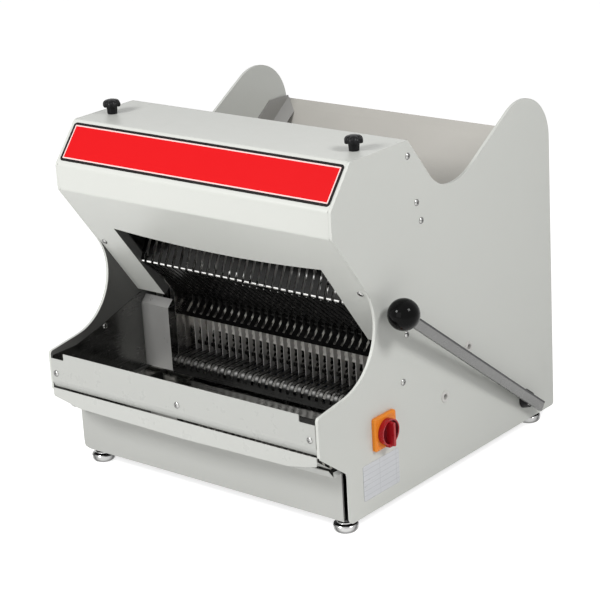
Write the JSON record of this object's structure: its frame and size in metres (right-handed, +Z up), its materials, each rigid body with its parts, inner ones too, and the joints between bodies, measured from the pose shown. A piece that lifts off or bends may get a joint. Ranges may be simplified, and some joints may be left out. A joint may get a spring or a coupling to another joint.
{
  "type": "bread slicer",
  "caption": "Bench bread slicer with reciprocating blade frames, a loading chute, a hand lever that pushes the loaf through, a crumb drawer and a rotary switch.",
  "frame": {"origin": "middle between the side plates and of their depth, on the plane that the feet stand on", "axes": "+X to the machine's right side as an operator at the tray sees it, +Y from the tray to the chute, +Z up"},
  "size_m": [0.623, 0.6514, 0.606],
  "materials": {
    "painted_shell": "powder coat, satin",
    "red_panel": "printed red panel, semi-gloss",
    "stainless_sheet": "brushed",
    "comb_steel": "dull stainless",
    "dark_steel": "black paint",
    "chute_sheet": "powder coat",
    "machined_steel": "machined",
    "blade_steel": "ground",
    "white_plastic": "matte",
    "chromed_steel": "polished",
    "cast_alloy": "cast",
    "belt_rubber": "matte",
    "motor_paint": "satin paint",
    "black_gloss_plastic": "polished",
    "pusher_sheet": "brushed",
    "black_plastic": "fine grain",
    "yellow_plastic": "satin",
    "red_plastic": "satin"
  },
  "bodies": {
    "machine": {"side_plate_right": "painted_shell", "side_plate_left": "painted_shell", "hood": "painted_shell", "front_panel": "red_panel", "apron": "painted_shell", "tray_cheek_left": "stainless_sheet", "tray_cheek_right": "stainless_sheet", "jamb_left": "stainless_sheet", "jamb_right": "stainless_sheet", "lower_comb": "comb_steel", "upper_comb": "comb_steel", "lower_front_panel": "painted_shell", "base_plate": "dark_steel", "chute_plate": "chute_sheet", "loading_floor": "stainless_sheet", "rear_guard": "stainless_sheet", "rear_cover": "painted_shell", "channel_wall_left": "stainless_sheet", "channel_wall_right": "stainless_sheet", "chute_rails": "chute_sheet", "cross_bars": "machined_steel", "guide_rods": "chromed_steel", "guide_holders": "cast_alloy", "crank_bearings": "cast_alloy", "drive_belt": "belt_rubber", "gearmotor": "motor_paint", "motor_cradle": "dark_steel", "shaft_bushes": "black_plastic", "switch_plate": "yellow_plastic", "switch_body": "black_plastic", "switch_cover": "stainless_sheet", "feet": "chromed_steel", "screws": "chromed_steel", "plug_rings": "white_plastic", "cable_gland": "black_plastic"},
    "blade_frame_a": {"blades_a": "blade_steel", "lower_carrier_a": "machined_steel", "frame_yoke_a": "machined_steel", "slider_blocks_a": "white_plastic"},
    "blade_frame_b": {"blades_b": "blade_steel", "lower_carrier_b": "machined_steel", "frame_yoke_b": "machined_steel", "slider_blocks_b": "white_plastic"},
    "rods_a": {"con_rods_a": "cast_alloy"},
    "rods_b": {"con_rods_b": "cast_alloy"},
    "crank": {"crankshaft": "machined_steel", "crank_pulley": "cast_alloy"},
    "motor_shaft": {"motor_pulley": "machined_steel"},
    "lever": {"lever_bar": "machined_steel", "ball_knob": "black_gloss_plastic", "swing_frame": "machined_steel"},
    "link": {"link_frame": "machined_steel"},
    "pusher": {"pusher_plate": "pusher_sheet", "pusher_comb": "comb_steel"},
    "drawer": {"drawer_front": "painted_shell", "drawer_pan": "stainless_sheet"},
    "switch": {"switch_handle": "red_plastic"},
    "knob_left": {"hood_knob_left": "black_plastic"},
    "knob_right": {"hood_knob_right": "black_plastic"}
  },
  "joints": [
    {"name": "crank_turn", "type": "hinge", "parent": "machine", "child": "crank", "pos_m": [0, -0.042, 0.063], "axis": [1, 0, 0], "continuous": true},
    {"name": "motor_turn", "type": "hinge", "parent": "machine", "child": "motor_shaft", "pos_m": [0, 0.084, 0.068], "axis": [1, 0, 0], "continuous": true},
    {"name": "blades_a_stroke", "type": "slide", "parent": "machine", "child": "blade_frame_a", "axis": [0, 0, 1], "range_m": [-0.02, 0]},
    {"name": "blades_b_stroke", "type": "slide", "parent": "machine", "child": "blade_frame_b", "axis": [0, 0, 1], "range_m": [0, 0.02]},
    {"name": "rods_a_swing", "type": "hinge", "parent": "blade_frame_a", "child": "rods_a", "pos_m": [0, -0.042, 0.123], "axis": [1, 0, 0], "range_deg": [-11.5, 11.5]},
    {"name": "rods_b_swing", "type": "hinge", "parent": "blade_frame_b", "child": "rods_b", "pos_m": [0, -0.042, 0.103], "axis": [1, 0, 0], "range_deg": [-11.5, 11.5]},
    {"name": "lever_pull", "type": "hinge", "parent": "machine", "child": "lever", "pos_m": [0, 0.228, 0.061], "axis": [-1, 0, 0], "range_deg": [0, 45]},
    {"name": "link_follow", "type": "hinge", "parent": "machine", "child": "link", "pos_m": [0, 0.188, 0.061], "axis": [-1, 0, 0], "range_deg": [0, 45]},
    {"name": "pusher_level", "type": "hinge", "parent": "lever", "child": "pusher", "pos_m": [0, 0.15446, 0.2187], "axis": [-1, 0, 0], "range_deg": [-45, 0]},
    {"name": "drawer_slide", "type": "slide", "parent": "machine", "child": "drawer", "axis": [0, -1, 0], "range_m": [0, 0.2]},
    {"name": "switch_turn", "type": "hinge", "parent": "machine", "child": "switch", "pos_m": [0.287, -0.1625, 0.144], "axis": [1, 0, 0], "range_deg": [0, 90]},
    {"name": "hood_knob_left_turn", "type": "hinge", "parent": "machine", "child": "knob_left", "pos_m": [-0.246, -0.156, 0.579], "axis": [0, 0, 1], "continuous": true},
    {"name": "hood_knob_right_turn", "type": "hinge", "parent": "machine", "child": "knob_right", "pos_m": [0.246, -0.156, 0.579], "axis": [0, 0, 1], "continuous": true}
  ],
  "couplings": [
    {"joint": "motor_turn", "follows": "crank_turn", "ratio": 0.77778},
    {"joint": "blades_b_stroke", "follows": "blades_a_stroke", "ratio": -1},
    {"joint": "link_follow", "follows": "lever_pull", "ratio": 1},
    {"joint": "pusher_level", "follows": "lever_pull", "ratio": -1}
  ]
}
